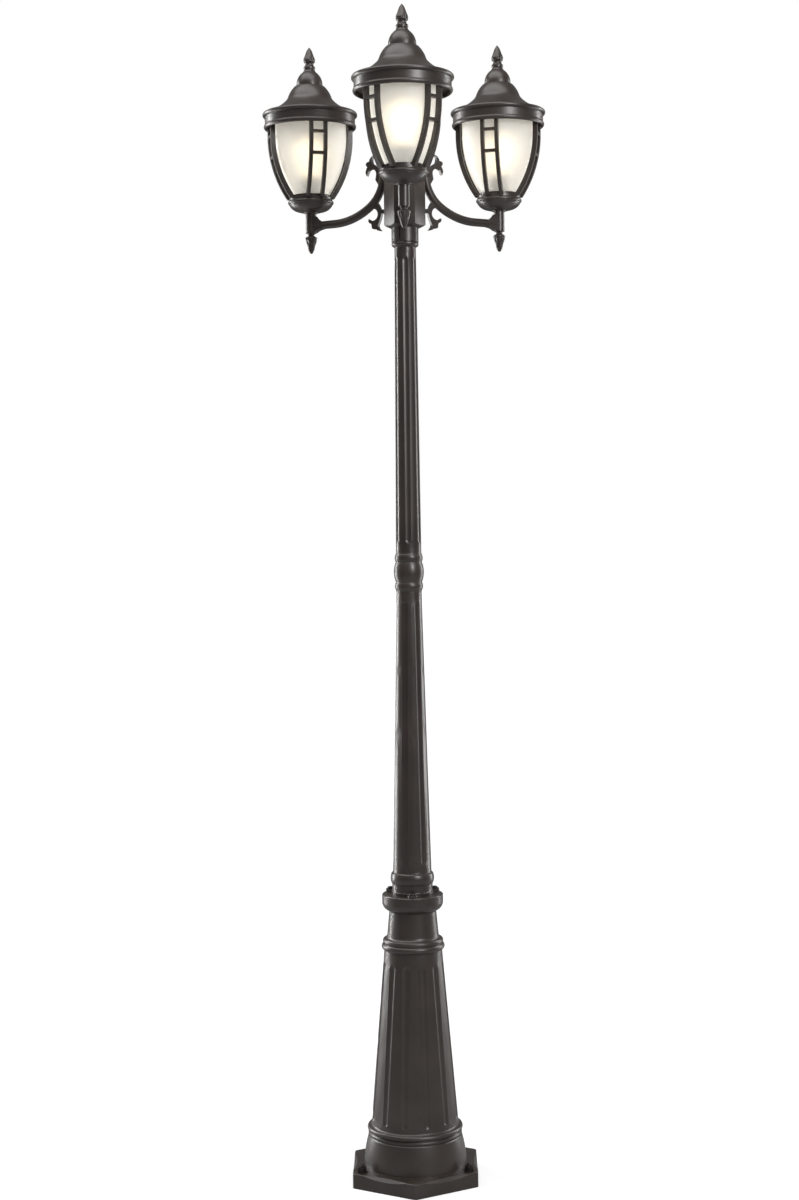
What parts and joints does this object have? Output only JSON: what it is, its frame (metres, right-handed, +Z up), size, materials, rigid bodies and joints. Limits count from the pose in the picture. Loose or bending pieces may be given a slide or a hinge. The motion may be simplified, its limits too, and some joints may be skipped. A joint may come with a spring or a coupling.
{
  "type": "lamp post",
  "caption": "Free-standing garden lamp post: caged frosted-glass lanterns with bell roofs on scrolled arms around a hexagonal hub, on a fluted tapering post and bolted foot.",
  "frame": {"origin": "on the post's axis, in the plane that the foot rests on", "axes": "+Z up; -Y towards the front lantern; +X to the right as seen from the front"},
  "size_m": [0.56, 0.5101, 2.2],
  "materials": {
    "dark_casting": "satin powder coat",
    "dark_tube": "satin powder coat",
    "dark_turned": "satin powder coat",
    "dark_fastener": "dark coated steel",
    "plated_steel": "zinc plated",
    "terminal_plastic": "matte",
    "holder_plastic": "matte",
    "seal_rubber": "matte",
    "frosted_glass": "frosted",
    "lamp_globe_glass": "opal, lit",
    "lamp_cap_metal": "satin"
  },
  "bodies": {
    "post": {"base_casting": "dark_casting", "anchor_washers": "dark_fastener", "anchor_nuts": "dark_fastener", "lower_post": "dark_tube", "collar_screws": "dark_fastener", "mid_coupler": "dark_turned", "upper_post": "dark_tube", "arm_hub": "dark_casting", "hub_grub_screw": "plated_steel", "hub_cap": "dark_casting", "terminal_block": "terminal_plastic", "arm_screws": "plated_steel", "arm_front": "dark_casting", "drop_finial_front": "dark_casting", "nipple_front": "plated_steel", "nipple_nut_front": "plated_steel", "cup_front": "dark_turned", "cage_front": "dark_casting", "glass_seal_front": "seal_rubber", "glass_front": "frosted_glass", "lamp_holder_front": "holder_plastic", "arm_right": "dark_casting", "drop_finial_right": "dark_casting", "nipple_right": "plated_steel", "nipple_nut_right": "plated_steel", "cup_right": "dark_turned", "cage_right": "dark_casting", "glass_seal_right": "seal_rubber", "glass_right": "frosted_glass", "lamp_holder_right": "holder_plastic", "arm_left": "dark_casting", "drop_finial_left": "dark_casting", "nipple_left": "plated_steel", "nipple_nut_left": "plated_steel", "cup_left": "dark_turned", "cage_left": "dark_casting", "glass_seal_left": "seal_rubber", "glass_left": "frosted_glass", "lamp_holder_left": "holder_plastic"},
    "roof_front": {"roof_front": "dark_turned", "roof_screw_front": "dark_fastener", "roof_finial_front": "dark_casting", "finial_nut_front": "plated_steel"},
    "bulb_front": {"bulb_front": "lamp_globe_glass", "bulb_cap_front": "lamp_cap_metal"},
    "roof_right": {"roof_right": "dark_turned", "roof_screw_right": "dark_fastener", "roof_finial_right": "dark_casting", "finial_nut_right": "plated_steel"},
    "bulb_right": {"bulb_right": "lamp_globe_glass", "bulb_cap_right": "lamp_cap_metal"},
    "roof_left": {"roof_left": "dark_turned", "roof_screw_left": "dark_fastener", "roof_finial_left": "dark_casting", "finial_nut_left": "plated_steel"},
    "bulb_left": {"bulb_left": "lamp_globe_glass", "bulb_cap_left": "lamp_cap_metal"}
  },
  "joints": [
    {"name": "roof_lift_front", "type": "slide", "parent": "post", "child": "roof_front", "axis": [0, 0, 1], "range_m": [0, 0.12]},
    {"name": "bulb_turn_front", "type": "hinge", "parent": "post", "child": "bulb_front", "pos_m": [0, -0.215, 1.9435], "axis": [0, 0, 1], "range_deg": [0, 1080]},
    {"name": "roof_lift_right", "type": "slide", "parent": "post", "child": "roof_right", "axis": [0, 0, 1], "range_m": [0, 0.12]},
    {"name": "bulb_turn_right", "type": "hinge", "parent": "post", "child": "bulb_right", "pos_m": [0.18619, 0.1075, 1.9435], "axis": [0, 0, 1], "range_deg": [0, 1080]},
    {"name": "roof_lift_left", "type": "slide", "parent": "post", "child": "roof_left", "axis": [0, 0, 1], "range_m": [0, 0.12]},
    {"name": "bulb_turn_left", "type": "hinge", "parent": "post", "child": "bulb_left", "pos_m": [-0.18619, 0.1075, 1.9435], "axis": [0, 0, 1], "range_deg": [0, 1080]}
  ]
}
